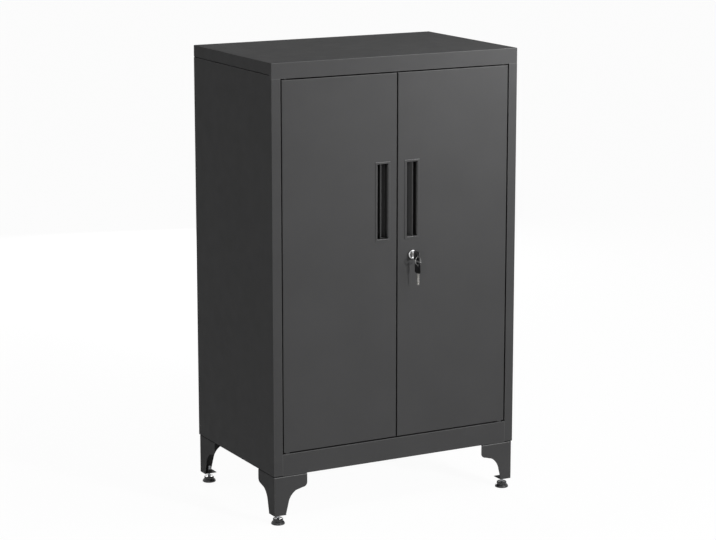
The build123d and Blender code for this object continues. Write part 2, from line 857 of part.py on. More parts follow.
def foot_stud():
    x, y = foot_place()
    low = foot_pad_height + foot_collar_height - foot_socket_depth + clear_gap
    stud = rod(x, y, low, foot_gap + leg_sheet + stud_above_plate, stud_diameter)
    return chamfer(stud.faces().sort_by(Axis.Z)[-1].edges(), stud_diameter * 0.1)


# ---- One STEP file per piece ----
key_head, key_blade = key_in_lock()
spare_key_head, spare_key_blade = spare_key()
pieces = {
    "top_cap": top_cap(),
    "header_rail": header_rail(),
    "left_side_panel": side_panel(),
    "right_side_panel": mirrored(side_panel()),
    "back_panel": back_panel(),
    "back_rivets": back_rivets(),
    "floor_panel": floor_panel(),
    "upper_hinge_bushes": hinge_bushes(True),
    "lower_hinge_bushes": hinge_bushes(False),
    "left_shelf_uprights": shelf_uprights(),
    "right_shelf_uprights": mirrored(shelf_uprights()),
    "lower_shelf": shelf(shelf_slots[0]),
    "upper_shelf": shelf(shelf_slots[1]),
    "lower_shelf_clips": shelf_clips(shelf_slots[0]),
    "upper_shelf_clips": shelf_clips(shelf_slots[1]),
    "upper_magnetic_catches": magnetic_catches(True),
    "lower_magnetic_catches": magnetic_catches(False),
    "catch_screws": catch_screws(),
    "leg_bolts": leg_bolts(),
    "leg_nuts": leg_nuts(),
    "foot_nuts": foot_nuts(),
    "left_door_panel": door_panel(),
    "left_door_stiffener": door_stiffener(),
    "left_handle": handle(),
    "left_hinge_pins": hinge_pins(),
    "left_strike_plates": strike_plates(),
    "right_door_panel": right_door_panel(),
    "right_door_stiffener": mirrored(door_stiffener()),
    "right_handle": mirrored(handle()),
    "right_hinge_pins": mirrored(hinge_pins()),
    "right_strike_plates": mirrored(strike_plates()),
    "lock_housing": lock_housing(),
    "lock_nut": lock_nut(),
    "lock_plug": lock_plug(),
    "lock_cam": lock_cam(),
    "cam_screw": cam_screw(),
    "key_head": key_head,
    "key_blade": key_blade,
    "key_ring": key_ring(),
    "spare_key_head": spare_key_head,
    "spare_key_blade": spare_key_blade,
}
for corner_name, signs in corner_signs().items():
    pieces[corner_name + "_leg"] = to_corner(leg(), signs)
    pieces[corner_name + "_foot_pad"] = to_corner(foot_pad(), signs)
    pieces[corner_name + "_foot_stud"] = to_corner(foot_stud(), signs)

os.makedirs("parts", exist_ok=True)
for name, piece in pieces.items():
    export_step(piece, f"parts/{name}.step")
    print(name, piece.bounding_box())
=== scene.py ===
import json
import math
import bpy
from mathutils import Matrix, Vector


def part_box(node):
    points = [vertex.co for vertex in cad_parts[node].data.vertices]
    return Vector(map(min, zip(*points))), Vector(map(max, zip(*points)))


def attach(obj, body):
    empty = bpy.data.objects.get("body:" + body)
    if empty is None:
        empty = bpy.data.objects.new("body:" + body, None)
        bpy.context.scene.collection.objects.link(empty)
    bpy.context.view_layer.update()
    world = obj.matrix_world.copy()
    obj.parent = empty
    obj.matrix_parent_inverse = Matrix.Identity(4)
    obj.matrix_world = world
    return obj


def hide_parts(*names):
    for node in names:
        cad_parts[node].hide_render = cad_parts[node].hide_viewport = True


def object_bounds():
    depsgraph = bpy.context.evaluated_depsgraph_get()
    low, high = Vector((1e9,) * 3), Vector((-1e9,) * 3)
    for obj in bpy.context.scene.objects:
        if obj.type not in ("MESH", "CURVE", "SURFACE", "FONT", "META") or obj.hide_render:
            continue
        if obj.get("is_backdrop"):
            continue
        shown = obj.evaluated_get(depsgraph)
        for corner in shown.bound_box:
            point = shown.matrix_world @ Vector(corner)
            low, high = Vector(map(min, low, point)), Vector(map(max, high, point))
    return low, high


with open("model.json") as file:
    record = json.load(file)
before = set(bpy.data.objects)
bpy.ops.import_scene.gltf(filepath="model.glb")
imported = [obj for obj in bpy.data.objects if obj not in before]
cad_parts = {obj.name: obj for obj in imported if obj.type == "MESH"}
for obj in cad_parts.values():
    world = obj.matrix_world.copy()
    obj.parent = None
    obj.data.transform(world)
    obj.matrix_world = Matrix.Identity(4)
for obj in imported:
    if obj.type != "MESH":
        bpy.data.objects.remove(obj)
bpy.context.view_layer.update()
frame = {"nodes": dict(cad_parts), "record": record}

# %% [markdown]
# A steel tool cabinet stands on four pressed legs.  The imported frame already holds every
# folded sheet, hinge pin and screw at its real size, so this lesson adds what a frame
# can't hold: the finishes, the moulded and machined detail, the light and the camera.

MM = 0.001
nodes = frame["nodes"]
corners = ("front_left", "front_right", "back_left", "back_right")

# %% [markdown]
# Blender's operators act on whatever is selected, so each new piece starts from a clean
# selection.  A block is a start and never the finished piece.  Its place, turn and scale go
# into its mesh at once, so that every piece shares the cabinet's own origin and a pattern
# on object coordinates sits still.  Real sheet and mouldings have no sharp edges, so the
# last step on most pieces rounds them.

# %% Starting, placing and rounding a piece
def deselect():
    bpy.ops.object.select_all(action="DESELECT")


def edit_only(piece):
    """Make a piece the only one that operators act on."""
    deselect()
    piece.select_set(True)
    bpy.context.view_layer.objects.active = piece


def rename(piece, name):
    piece.name = name
    piece.data.name = name


def settle(name):
    """Name the active piece and move its place, turn and scale into its mesh."""
    piece = bpy.context.object
    rename(piece, name)
    bpy.ops.object.transform_apply(location=True, rotation=True, scale=True)
    return piece


def add_block(name, low, high):
    """A block between two corners, its place kept in its mesh."""
    deselect()
    low, high = Vector(low), Vector(high)
    bpy.ops.mesh.primitive_cube_add(size=1, location=(low + high) / 2, scale=high - low)
    return settle(name)


def move_into_place(piece, turn, move):
    """Turn a piece about the origin by degrees, move it, and keep both in its mesh."""
    edit_only(piece)
    piece.rotation_euler = [math.radians(angle) for angle in turn]
    piece.location = move
    bpy.ops.object.transform_apply(location=True, rotation=True, scale=True)
    return piece


def copy_piece(piece, name):
    """A copy with its own mesh."""
    edit_only(piece)
    bpy.ops.object.duplicate()
    twin = bpy.context.object
    rename(twin, name)
    return twin


def smooth_shading(angle=35):
    """Shade the active piece smooth where its faces meet at less than the angle, in degrees."""
    bpy.ops.object.shade_smooth_by_angle(angle=math.radians(angle))


def round_edges(piece, width, segments=3, angle=30):
    """Round every edge sharper than the angle, in degrees, and apply it."""
    edit_only(piece)
    bevel = piece.modifiers.new("bevel", "BEVEL")
    bevel.width = width
    bevel.segments = segments
    bevel.limit_method = "ANGLE"
    bevel.angle_limit = math.radians(angle)
    bevel.use_clamp_overlap = True
    bpy.ops.object.modifier_apply(modifier=bevel.name)
    smooth_shading()


# %% [markdown]
# In edit mode an operator works on the faces or edges that are selected.  A script can't
# click on them, so it picks them by a test: faces by where their middle lies and which way
# they look, and edges by where their two ends lie.

# %% Picking faces and edges
FACING = 0.9       # a face looks along an axis if its unit normal reaches further than this
SAME = 0.01 * MM   # places closer than this are the same place


def start_picking(piece, kind):
    """Clear the selection of a piece's faces or edges."""
    edit_only(piece)
    bpy.ops.object.mode_set(mode="EDIT")
    bpy.ops.mesh.select_mode(type=kind)
    bpy.ops.mesh.select_all(action="DESELECT")
    bpy.ops.object.mode_set(mode="OBJECT")


def pick_faces(piece, test):
    """Enter edit mode with just the faces selected that pass a test of middle and normal."""
    start_picking(piece, "FACE")
    for face in piece.data.polygons:
        face.select = bool(test(face.center, face.normal))
    bpy.ops.object.mode_set(mode="EDIT")


def pick_edges(piece, test):
    """Enter edit mode with just the edges selected whose two ends pass a test."""
    start_picking(piece, "EDGE")
    points = piece.data.vertices
    for edge in piece.data.edges:
        first, second = (points[number].co for number in edge.vertices)
        edge.select = bool(test(first, second))
    bpy.ops.object.mode_set(mode="EDIT")


def leave_edit():
    bpy.ops.object.mode_set(mode="OBJECT")


# %% [markdown]
# A finished piece is handed over in one step.  It gets its material, the body that carries
# it when the doors, keys and feet move, and the packed nodes that it stands for, which are
# then hidden.

# %% Handing over a finished piece
def dress(piece, material, body, slot, *stands_for):
    """Give a finished piece its material, its body and the CAD nodes it stands for."""
    piece.data.materials.clear()
    piece.data.materials.append(material)
    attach(piece, body)
    if stands_for:
        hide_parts(*stands_for)
    print(piece.name, len(piece.data.polygons), "faces, rides on", body)


# %% [markdown]
# Every finish here is a node material on object coordinates.  The same few nodes come back
# each time: noise at a real scale in metres for colour, roughness and bump.  Small helpers
# wire them, and each finish then sets its own numbers.

# %% Helpers for materials
NOISE_RANGE = (0.3, 0.7)     # most of a noise's values lie between these


def new_material(name):
    material = bpy.data.materials.new(name)
    material.use_nodes = True
    tree = material.node_tree
    shader = tree.nodes["Principled BSDF"]
    place = tree.nodes.new("ShaderNodeTexCoord").outputs["Object"]
    return material, tree, shader, place


def noise(tree, place, feature, detail=2.0, stretch=(1, 1, 1)):
    """Noise whose features are about the given size in metres."""
    mapping = tree.nodes.new("ShaderNodeMapping")
    mapping.inputs["Scale"].default_value = stretch
    tree.links.new(place, mapping.inputs["Vector"])
    texture = tree.nodes.new("ShaderNodeTexNoise")
    texture.inputs["Scale"].default_value = 1 / feature
    texture.inputs["Detail"].default_value = detail
    tree.links.new(mapping.outputs["Vector"], texture.inputs["Vector"])
    return texture.outputs["Fac"]


def ramp(tree, value, low, high, out_low=0.0, out_high=1.0):
    """Map a value range to another, clamped."""
    node = tree.nodes.new("ShaderNodeMapRange")
    node.clamp = True
    limits = {"From Min": low, "From Max": high, "To Min": out_low, "To Max": out_high}
    for socket, number in limits.items():
        node.inputs[socket].default_value = number
    tree.links.new(value, node.inputs["Value"])
    return node.outputs["Result"]


def combine(tree, operation, first, *others):
    """Fold several values into one, such as their product or the largest of them."""
    for other in others:
        node = tree.nodes.new("ShaderNodeMath")
        node.operation = operation
        tree.links.new(first, node.inputs[0])
        tree.links.new(other, node.inputs[1])
        first = node.outputs[0]
    return first


def split(tree, vector):
    """The X, Y and Z of a vector, each as a value of its own."""
    parts = tree.nodes.new("ShaderNodeSeparateXYZ")
    tree.links.new(vector, parts.inputs["Vector"])
    return parts.outputs


def mix_colours(tree, amount, first, second):
    """The first colour where the amount is nought and the second where it is one."""
    node = tree.nodes.new("ShaderNodeMix")
    node.data_type = "RGBA"
    tree.links.new(amount, node.inputs["Factor"])
    for socket, colour in ((node.inputs["A"], first), (node.inputs["B"], second)):
        if isinstance(colour, tuple):
            socket.default_value = (*colour, 1)
        else:
            tree.links.new(colour, socket)
    return node.outputs["Result"]


def add_bump(tree, shader, height, depth, below=None):
    """Raise and sink the shading by a height, on top of another bump if one is given."""
    node = tree.nodes.new("ShaderNodeBump")
    node.inputs["Distance"].default_value = depth
    tree.links.new(height, node.inputs["Height"])
    if below is not None:
        tree.links.new(below, node.inputs["Normal"])
    tree.links.new(node.outputs["Normal"], shader.inputs["Normal"])
    return node.outputs["Normal"]


# %% [markdown]
# Along edges and folds the coat gets a painted highlight and the plating a little polish,
# and in gaps the coat gets painted shade; a mask finds each of those places: a value between
# nought and one that mixes two colours.  A Bevel node gives the direction that a surface
# would have if its edges were round, and where this differs from the real direction there is
# an edge.  Ambient Occlusion tells how shut in a place is.

# %% Masks for edges, gaps and folds
EDGE_RANGE = (0.995, 0.80)      # cosines of the angle between the real and the round direction
RIM_SPAN = 0.2                  # from where a rim starts to face up to where it fully does
NOT_FLAT_RANGE = (0.97, 0.85)   # upward shares of a direction, from flat to tilted
FRONT_RANGE = (-0.1, -0.4)      # shares of a direction along Y, from sideways to the front
HOLLOW_RANGE = (0.55, 0.15)     # open shares of a place's surroundings
FOLD_RANGE = (0.9, 0.76)        # largest shares of a direction, from square to halfway round


def edge_normal(tree, radius):
    """The surface direction, as if every edge were rounded by the radius."""
    bevel = tree.nodes.new("ShaderNodeBevel")
    bevel.samples = 4
    bevel.inputs["Radius"].default_value = radius
    return bevel.outputs["Normal"]


def edge_mask(tree, rounded):
    """One on the outer edges of a piece and nought on its flats."""
    flat = tree.nodes.new("ShaderNodeNewGeometry").outputs["Normal"]
    dot = tree.nodes.new("ShaderNodeVectorMath")
    dot.operation = "DOT_PRODUCT"
    tree.links.new(rounded, dot.inputs[0])
    tree.links.new(flat, dot.inputs[1])
    return ramp(tree, dot.outputs["Value"], *EDGE_RANGE)


# Places the painted highlight on rims and folds that face up and to the front.
def upward_mask(tree, rounded, start):
    """One where an edge or a fold faces up, by more than the start, and to the front."""
    parts = split(tree, rounded)
    upwards = ramp(tree, parts["Z"], start, start + RIM_SPAN)
    not_flat = ramp(tree, parts["Z"], *NOT_FLAT_RANGE)
    frontwards = ramp(tree, parts["Y"], *FRONT_RANGE)
    return combine(tree, "MULTIPLY", upwards, not_flat, frontwards)


def height_mask(tree, place, start, full):
    """Nought at the first height and one from the second on."""
    return ramp(tree, split(tree, place)["Z"], start, full)


# Places the painted shade deep in gaps and cups.
def hollow_mask(tree, reach):
    """One deep in gaps and cups, and nought on open faces."""
    shade = tree.nodes.new("ShaderNodeAmbientOcclusion")
    shade.samples = 8
    shade.inputs["Distance"].default_value = reach
    return ramp(tree, shade.outputs["AO"], *HOLLOW_RANGE)


# Places the painted highlight round folds and rims.
def fold_mask(tree):
    """One round the middle of a fold or rim, and nought on faces square to the cabinet."""
    size = tree.nodes.new("ShaderNodeVectorMath")
    size.operation = "ABSOLUTE"
    tree.links.new(tree.nodes.new("ShaderNodeTexCoord").outputs["Normal"], size.inputs[0])
    parts = split(tree, size.outputs["Vector"])
    largest = combine(tree, "MAXIMUM", parts["X"], parts["Y"], parts["Z"])
    return ramp(tree, largest, *FOLD_RANGE)


# %% [markdown]
# Powder coat is sprayed on dry and melted in an oven.  It levels to a matte skin with a
# very fine pebble, about a millimetre across, over a slow waviness of two centimetres.
# Its edges and folds get a painted highlight, a shade lighter, and those that
# face up and to the front get a brighter painted highlight besides, brightest on the rim of a
# handle.  Narrow gaps and cups are painted dark as painted shade.  The seam where the body
# stands on its legs gets a painted dark line of shade on both sides, and the fold below it a
# painted highlight.

# %% Charcoal powder coat
POWDER_DARK = (0.0600, 0.0600, 0.0608)
POWDER_LIGHT = (0.0660, 0.0660, 0.0668)
# Painted highlight on edges and folds.
POWDER_EDGE_HIGHLIGHT = (0.125, 0.125, 0.126)
# Painted highlight on rims that face up and to the front.
POWDER_UPPER_EDGE_HIGHLIGHT = (0.140, 0.140, 0.141)
# Painted highlight on the fold at the top of each leg.
POWDER_LEG_FOLD_HIGHLIGHT = (0.270, 0.270, 0.271)
# Painted highlight on the rims of the handles.
POWDER_HANDLE_RIM_HIGHLIGHT = (0.380, 0.380, 0.381)
# Painted shade for gaps, cups and the seam under the body.
POWDER_PAINTED_SHADE = (0.008, 0.008, 0.008)
POWDER_ROUGHNESS = (0.80, 0.88)
POWDER_GLOSS = 0.2
POWDER_SPECK_RANGE = (0.35, 0.7)     # pebble heights over which a pale speck appears
POWDER_SPECK_SHARE = 0.35            # how much of the light colour a speck has
POWDER_CLOUD = 120 * MM
POWDER_PATCH = 30 * MM
POWDER_WAVE = 20 * MM
POWDER_PEBBLE = 0.9 * MM
POWDER_RELIEF = 0.04 * MM
POWDER_EDGE_WIDTH = 1.4 * MM
GAP_REACH = 16 * MM
RIM_START = 0.25      # the upward share of a rim's direction from which it gets its painted highlight
FOLD_START = 0.05     # and from which the legs' fold gets its painted highlight, further down its curve


def make_powder_coat(name, rim, rim_start=RIM_START, seam=None):
    """The coat, with the painted highlight's colour on rims that face up and the two heights of a
    painted dark line of shade at a seam.
    """
    material, tree, shader, place = new_material(name)
    cloud = noise(tree, place, POWDER_CLOUD)
    pebble = noise(tree, place, POWDER_PEBBLE)
    colour = mix_colours(tree, ramp(tree, cloud, *NOISE_RANGE), POWDER_DARK, POWDER_LIGHT)
    speck = ramp(tree, pebble, *POWDER_SPECK_RANGE, out_high=POWDER_SPECK_SHARE)
    colour = mix_colours(tree, speck, colour, POWDER_LIGHT)
    # Painted shade: gaps and cups are painted near black.
    colour = mix_colours(tree, hollow_mask(tree, GAP_REACH), colour, POWDER_PAINTED_SHADE)
    rounded = edge_normal(tree, POWDER_EDGE_WIDTH)
    # Painted highlight: edges and folds are painted lighter.
    colour = mix_colours(tree, edge_mask(tree, rounded), colour, POWDER_EDGE_HIGHLIGHT)
    colour = mix_colours(tree, fold_mask(tree), colour, POWDER_EDGE_HIGHLIGHT)
    # Painted highlight on rims that face up and to the front.
    colour = mix_colours(tree, upward_mask(tree, rounded, rim_start), colour, rim)
    if seam:
        # Painted shade: a dark line painted on both sides of the seam under the body.
        colour = mix_colours(tree, height_mask(tree, place, *seam), colour, POWDER_PAINTED_SHADE)
    tree.links.new(colour, shader.inputs["Base Color"])
    patch = noise(tree, place, POWDER_PATCH, detail=3)
    roughness = ramp(tree, patch, *NOISE_RANGE, *POWDER_ROUGHNESS)
    tree.links.new(roughness, shader.inputs["Roughness"])
    shader.inputs["Specular IOR Level"].default_value = POWDER_GLOSS
    waves = add_bump(tree, shader, noise(tree, place, POWDER_WAVE), POWDER_RELIEF)
    add_bump(tree, shader, pebble, POWDER_RELIEF, below=waves)
    return material


# The two heights of the painted dark line of shade at the seam, on each leg and on the panels
# above it.
seam_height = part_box("left_side_panel")[0].z
leg_seam = (seam_height - 2.2 * MM, seam_height - 1.8 * MM)
skirt_seam = (seam_height + 1.3 * MM, seam_height + 0.6 * MM)
# The rim colour given to each coat is a painted highlight.
powder_coat = make_powder_coat("charcoal_powder_coat", POWDER_UPPER_EDGE_HIGHLIGHT)
# The handles' coat has the brightest painted highlight on their rims.
handle_coat = make_powder_coat("handle_highlight_powder_coat", POWDER_HANDLE_RIM_HIGHLIGHT)
# The legs' coat has the painted highlight on their top fold and a painted dark line of shade below
# the seam.
leg_coat = make_powder_coat("leg_powder_coat", POWDER_LEG_FOLD_HIGHLIGHT, FOLD_START, seam=leg_seam)
# The panels' coat has the painted dark line of shade just above the seam.
skirt_coat = make_powder_coat("skirt_powder_coat", POWDER_UPPER_EDGE_HIGHLIGHT, seam=skirt_seam)
print("made", powder_coat.name, handle_coat.name, leg_coat.name, skirt_coat.name)

# %% [markdown]
# Zinc plating is a thin grey metal with faint cloudy crystals.  Chrome and nickel are
# brighter and smoother; nickel carries fine scratches besides, which are the same noise
# drawn out along one axis.  The key ring is wound from darker spring steel.  Handling
# polishes the edges of all four a little brighter.

# %% Metals
FINE_EDGE_WIDTH = 0.5 * MM
EDGE_POLISH = 1.25
RELIEF_SHARE = 0.3     # the relief's features as a share of the cloudiness's


def make_metal(name, dark, light, roughness, grain, stretch=(1, 1, 1), relief=0.02 * MM):
    material, tree, shader, place = new_material(name)
    cloud = noise(tree, place, grain, detail=4, stretch=stretch)
    colour = mix_colours(tree, ramp(tree, cloud, *NOISE_RANGE), dark, light)
    polished = tuple(min(1, EDGE_POLISH * share) for share in light)
    edges = edge_mask(tree, edge_normal(tree, FINE_EDGE_WIDTH))
    tree.links.new(mix_colours(tree, edges, colour, polished), shader.inputs["Base Color"])
    tree.links.new(ramp(tree, cloud, *NOISE_RANGE, *roughness), shader.inputs["Roughness"])
    shader.inputs["Metallic"].default_value = 1
    fine = noise(tree, place, grain * RELIEF_SHARE, stretch=stretch)
    add_bump(tree, shader, fine, relief)
    return material


zinc = make_metal(
    "zinc_plated_steel",
    dark=(0.42, 0.43, 0.45), light=(0.62, 0.63, 0.65), roughness=(0.28, 0.42), grain=4 * MM,
)
chrome = make_metal(
    "polished_chrome",
    dark=(0.48, 0.48, 0.49), light=(0.60, 0.60, 0.60), roughness=(0.16, 0.26), grain=6 * MM,
    relief=0.005 * MM,
)
nickel = make_metal(
    "nickel_plated_steel",
    dark=(0.40, 0.39, 0.37), light=(0.54, 0.53, 0.51), roughness=(0.20, 0.34), grain=2 * MM,
    stretch=(6, 1, 6),
)
spring = make_metal(
    "spring_steel",
    dark=(0.20, 0.20, 0.20), light=(0.30, 0.30, 0.29), roughness=(0.24, 0.36), grain=3 * MM,
)
print("made", zinc.name, chrome.name, nickel.name, spring.name)

# %% [markdown]
# The feet, key heads, hinge bushes and magnet housings are black plastic: a satin skin with a
# fine spark-eroded grain.

# %% Black plastic
PLASTIC_DARK = (0.011, 0.011, 0.012)
PLASTIC_LIGHT = (0.018, 0.018, 0.019)
PLASTIC_EDGE = (0.04, 0.04, 0.042)
PLASTIC_ROUGHNESS = (0.33, 0.43)
PLASTIC_RANGE = (0.35, 0.65)     # noise values over which the colour changes
PLASTIC_CLOUD = 6 * MM
PLASTIC_GRAIN = 0.5 * MM
PLASTIC_RELIEF = 0.02 * MM


def make_black_plastic():
    material, tree, shader, place = new_material("black_plastic")
    cloud = noise(tree, place, PLASTIC_CLOUD, detail=3)
    colour = mix_colours(tree, ramp(tree, cloud, *PLASTIC_RANGE), PLASTIC_DARK, PLASTIC_LIGHT)
    edges = edge_mask(tree, edge_normal(tree, FINE_EDGE_WIDTH))
    tree.links.new(mix_colours(tree, edges, colour, PLASTIC_EDGE), shader.inputs["Base Color"])
    roughness = ramp(tree, cloud, *NOISE_RANGE, *PLASTIC_ROUGHNESS)
    tree.links.new(roughness, shader.inputs["Roughness"])
    add_bump(tree, shader, noise(tree, place, PLASTIC_GRAIN), PLASTIC_RELIEF)
    return material


black_plastic = make_black_plastic()
print("made", black_plastic.name)

# %% [markdown]
# The record names a finish for every imported node, so one loop hands them all out.  Only the
# pieces on either side of the seam under the body get their own powder coats, which have
# the painted dark line of shade.

# %% Finishes for the imported nodes
finishes = {
    "charcoal_powder_coat": powder_coat,
    "zinc_plated_steel": zinc,
    "polished_chrome": chrome,
    "nickel_plated_steel": nickel,
    "black_plastic": black_plastic,
}
seam_finishes = {corner + "_leg": leg_coat for corner in corners}
for panel in ("left_side_panel", "right_side_panel", "back_panel"):
    seam_finishes[panel] = skirt_coat
for part in frame["record"]["subparts"]:
    finish = seam_finishes.get(part["node"], finishes[part["material_slot"]])
    mesh = nodes[part["node"]].data
    mesh.materials.clear()
    mesh.materials.append(finish)

# %% [markdown]
# Each door has a recessed handle.  A raised bezel frames the opening, and behind it a deep
# cup, a little wider than the opening, holds a ridge along its length: fingers slide down the
# ridge's slope and hook under the edge of the opening.  One block becomes all of it.  Its
# back is inset and drawn out as the cup, its front is inset and pushed in, and the cup's two
# long walls are moved apart.  The floor is cut in three strips, and the middle one is
# pushed back out and narrowed as the ridge.  The right handle is the left one in a mirror.

# %% Recessed handles
BEZEL = 4.5 * MM
BEZEL_ROUNDING = 0.5 * MM
UNDERCUT = 2.0 * MM
CUP_WALL = 1.2 * MM
CUP_DEPTH = 17 * MM
SKIN = 0.8 * MM
RIDGE_START = 9.5 * MM
RIDGE_WIDTH = 1.2 * MM
RIDGE_FOOT = 7.0 * MM
RIDGE_DEPTH = 3.2 * MM


def push(distance):
    """Extrude what is selected along Y."""
    bpy.ops.mesh.extrude_region_move(TRANSFORM_OT_translate={"value": (0, distance, 0)})


def widen(share, middle):
    """Scale what is selected along X about a point."""
    bpy.ops.transform.resize(value=(share, 1, 1), center_override=middle)


def make_left_handle():
    low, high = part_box("left_handle")
    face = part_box("left_door_panel")[0].y
    middle = (low + high) / 2
    opening = high.x - low.x - 2 * BEZEL
    piece = add_block("left_handle_detail", low, (high.x, face, high.z))
    pick_faces(piece, lambda centre, normal: normal.y > FACING)
    bpy.ops.mesh.inset(thickness=BEZEL - CUP_WALL)
    push(SKIN)
    push(0)
    widen(1 + 2 * UNDERCUT / (opening + 2 * CUP_WALL), middle)
    push(high.y - face - SKIN)
    leave_edit()
    pick_faces(piece, lambda centre, normal: normal.y < -FACING)
    bpy.ops.mesh.inset(thickness=BEZEL)
    push(face - low.y + SKIN + CUP_WALL)
    push(0)
    widen(1 + 2 * UNDERCUT / opening, middle)
    push(CUP_DEPTH - SKIN - CUP_WALL)
    leave_edit()
    add_ridge(piece, low.x + BEZEL + RIDGE_START, face + CUP_DEPTH)
    round_edges(piece, BEZEL_ROUNDING)
    return piece


def add_ridge(piece, start, floor):
    """Cut the cup's floor in three strips and draw the middle one out as the ridge."""
    end = start + RIDGE_FOOT
    on_floor = lambda centre, normal: normal.y < -FACING and abs(centre.y - floor) < SAME
    for line in (start, end):
        pick_faces(piece, on_floor)
        bpy.ops.mesh.bisect(plane_co=(line, 0, 0), plane_no=(1, 0, 0))
        leave_edit()
    pick_faces(piece, lambda centre, normal: on_floor(centre, normal) and start < centre.x < end)
    push(RIDGE_DEPTH - CUP_DEPTH)
    widen(RIDGE_WIDTH / RIDGE_FOOT, (start, 0, 0))
    leave_edit()


def copy_mirrored(piece, name):
    """A copy mirrored from left to right, with its own mesh."""
    twin = copy_piece(piece, name)
    for point in twin.data.vertices:
        point.co.x = -point.co.x
    twin.data.flip_normals()
    return twin


left_handle = make_left_handle()
right_handle = copy_mirrored(left_handle, "right_handle_detail")
# The handles' coat has the brighter painted highlight on their rims.
dress(left_handle, handle_coat, "left_door", "charcoal_powder_coat", "left_handle")
dress(right_handle, handle_coat, "right_door", "charcoal_powder_coat", "right_handle")

# %% [markdown]
# Pads, studs and the lock's barrel are all round, so one helper turns them as a lathe would:
# it starts from a disc and draws its top face up, step by step, along a profile.  Spin could
# do it too, but a face that is drawn up leaves no seam to close.

# %% Turning on a lathe
def lathe(name, profile, sides=64):
    """A turned piece on the Z axis, drawn up from a disc through (radius, height) steps."""
    deselect()
    radius, start = profile[0]
    top = profile[1][1]
    rise = top - start
    bpy.ops.mesh.primitive_cylinder_add(
        vertices=sides, radius=radius, depth=rise, location=(0, 0, start + rise / 2)
    )
    piece = settle(name)
    on_top = lambda centre, normal: abs(normal.z) > FACING and abs(centre.z - top) < SAME
    for number, (wide, height) in enumerate(profile[1:], start=1):
        pick_faces(piece, on_top)
        if number > 1:
            step = (0, 0, height - top)
            bpy.ops.mesh.extrude_region_move(TRANSFORM_OT_translate={"value": step})
        shrink = wide / profile[number - 1][0]
        bpy.ops.transform.resize(value=(shrink, shrink, 1), center_override=(0, 0, height))
        leave_edit()
        top = height
    return piece


# %% [markdown]
# A levelling foot is a moulded pad with a collar that fingers grip.  The pad is turned like
# a chess piece, from its flat sole up to the collar's rim.  Sixteen flutes are then inset
# into the collar, every fourth face of it, so the foot can be turned by hand.

# %% Foot pads
PAD_SIDES = 64
COLLAR_RADIUS, COLLAR_FOOT, COLLAR_TOP = 11.0 * MM, 7.6 * MM, 12.2 * MM
PAD_PROFILE = [
    (14.4 * MM, 0), (15.0 * MM, 0.6 * MM), (15.0 * MM, 1.8 * MM), (14.6 * MM, 3.2 * MM),
    (13.6 * MM, 5.0 * MM), (12.2 * MM, 6.4 * MM), (COLLAR_RADIUS, 7.0 * MM),
    (COLLAR_RADIUS, COLLAR_FOOT), (COLLAR_RADIUS, COLLAR_TOP), (10.2 * MM, 13.0 * MM),
    (4.2 * MM, 13.0 * MM), (3.6 * MM, 12.6 * MM),
]
FLUTE_EVERY = 4
FLUTE_MARGIN = 0.12 * MM
FLUTE_DEPTH = 0.5 * MM
PAD_ROUNDING = 0.15 * MM


def is_flute(centre, normal):
    """True for every fourth upright face of the collar."""
    turns = math.atan2(centre.y, centre.x) / (2 * math.pi)
    number = round(turns * PAD_SIDES - 0.5)
    upright = abs(normal.z) < 1 - FACING
    return upright and COLLAR_FOOT < centre.z < COLLAR_TOP and number % FLUTE_EVERY == 0


def make_foot_pad(name):
    piece = lathe(name, PAD_PROFILE, PAD_SIDES)
    pick_faces(piece, is_flute)
    bpy.ops.mesh.inset(thickness=FLUTE_MARGIN, depth=-FLUTE_DEPTH, use_individual=True)
    leave_edit()
    round_edges(piece, PAD_ROUNDING, segments=2, angle=40)
    return piece


pad_pattern = make_foot_pad("foot_pad_pattern")
for corner in corners:
    low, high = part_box(corner + "_foot_pad")
    middle = (low + high) / 2
    pad = copy_piece(pad_pattern, corner + "_pad_moulding")
    move_into_place(pad, (0, 0, 0), (middle.x, middle.y, 0))
    dress(pad, black_plastic, corner + "_foot", "black_plastic", corner + "_foot_pad")
bpy.data.objects.remove(pad_pattern, do_unlink=True)

# %% [markdown]
# Threads and split rings are wound, which is what the Screw modifier does: it carries a
# small profile round an axis and along it at once.  It leaves the two ends open, so they
# are filled, and then all faces are turned outwards.

# %% Winding and joining
def coil(name, radius, wire, pitch, turns, steps, sides):
    """Wire, given as its width and height, wound round the Z axis from height nought."""
    width, height = wire
    deselect()
    bpy.ops.mesh.primitive_circle_add(
        vertices=sides, radius=width / 2, location=(radius, 0, 0), rotation=(math.pi / 2, 0, 0)
    )
    piece = settle(name)
    bpy.ops.object.mode_set(mode="EDIT")
    bpy.ops.mesh.select_all(action="SELECT")
    bpy.ops.transform.resize(value=(1, 1, height / width), center_override=(radius, 0, 0))
    bpy.ops.object.mode_set(mode="OBJECT")
    screw = piece.modifiers.new("winding", "SCREW")
    screw.iterations = 1
    screw.angle = 2 * math.pi * turns
    screw.screw_offset = pitch * turns
    screw.steps = int(steps * turns)
    screw.render_steps = screw.steps
    screw.use_merge_vertices = False
    bpy.ops.object.modifier_apply(modifier=screw.name)
    close_ends()
    return piece


def close_ends():
    """Fill the open ends of the active piece and turn all its faces outwards."""
    bpy.ops.object.mode_set(mode="EDIT")
    bpy.ops.mesh.select_mode(type="VERT")
    bpy.ops.mesh.select_all(action="DESELECT")
    bpy.ops.mesh.select_non_manifold()
    bpy.ops.mesh.fill_holes(sides=0)
    bpy.ops.mesh.select_all(action="SELECT")
    bpy.ops.mesh.normals_make_consistent(inside=False)
    leave_edit()


def join(pieces, name):
    deselect()
    for piece in pieces:
        piece.select_set(True)
    bpy.context.view_layer.objects.active = pieces[0]
    bpy.ops.object.join()
    rename(pieces[0], name)
    return pieces[0]


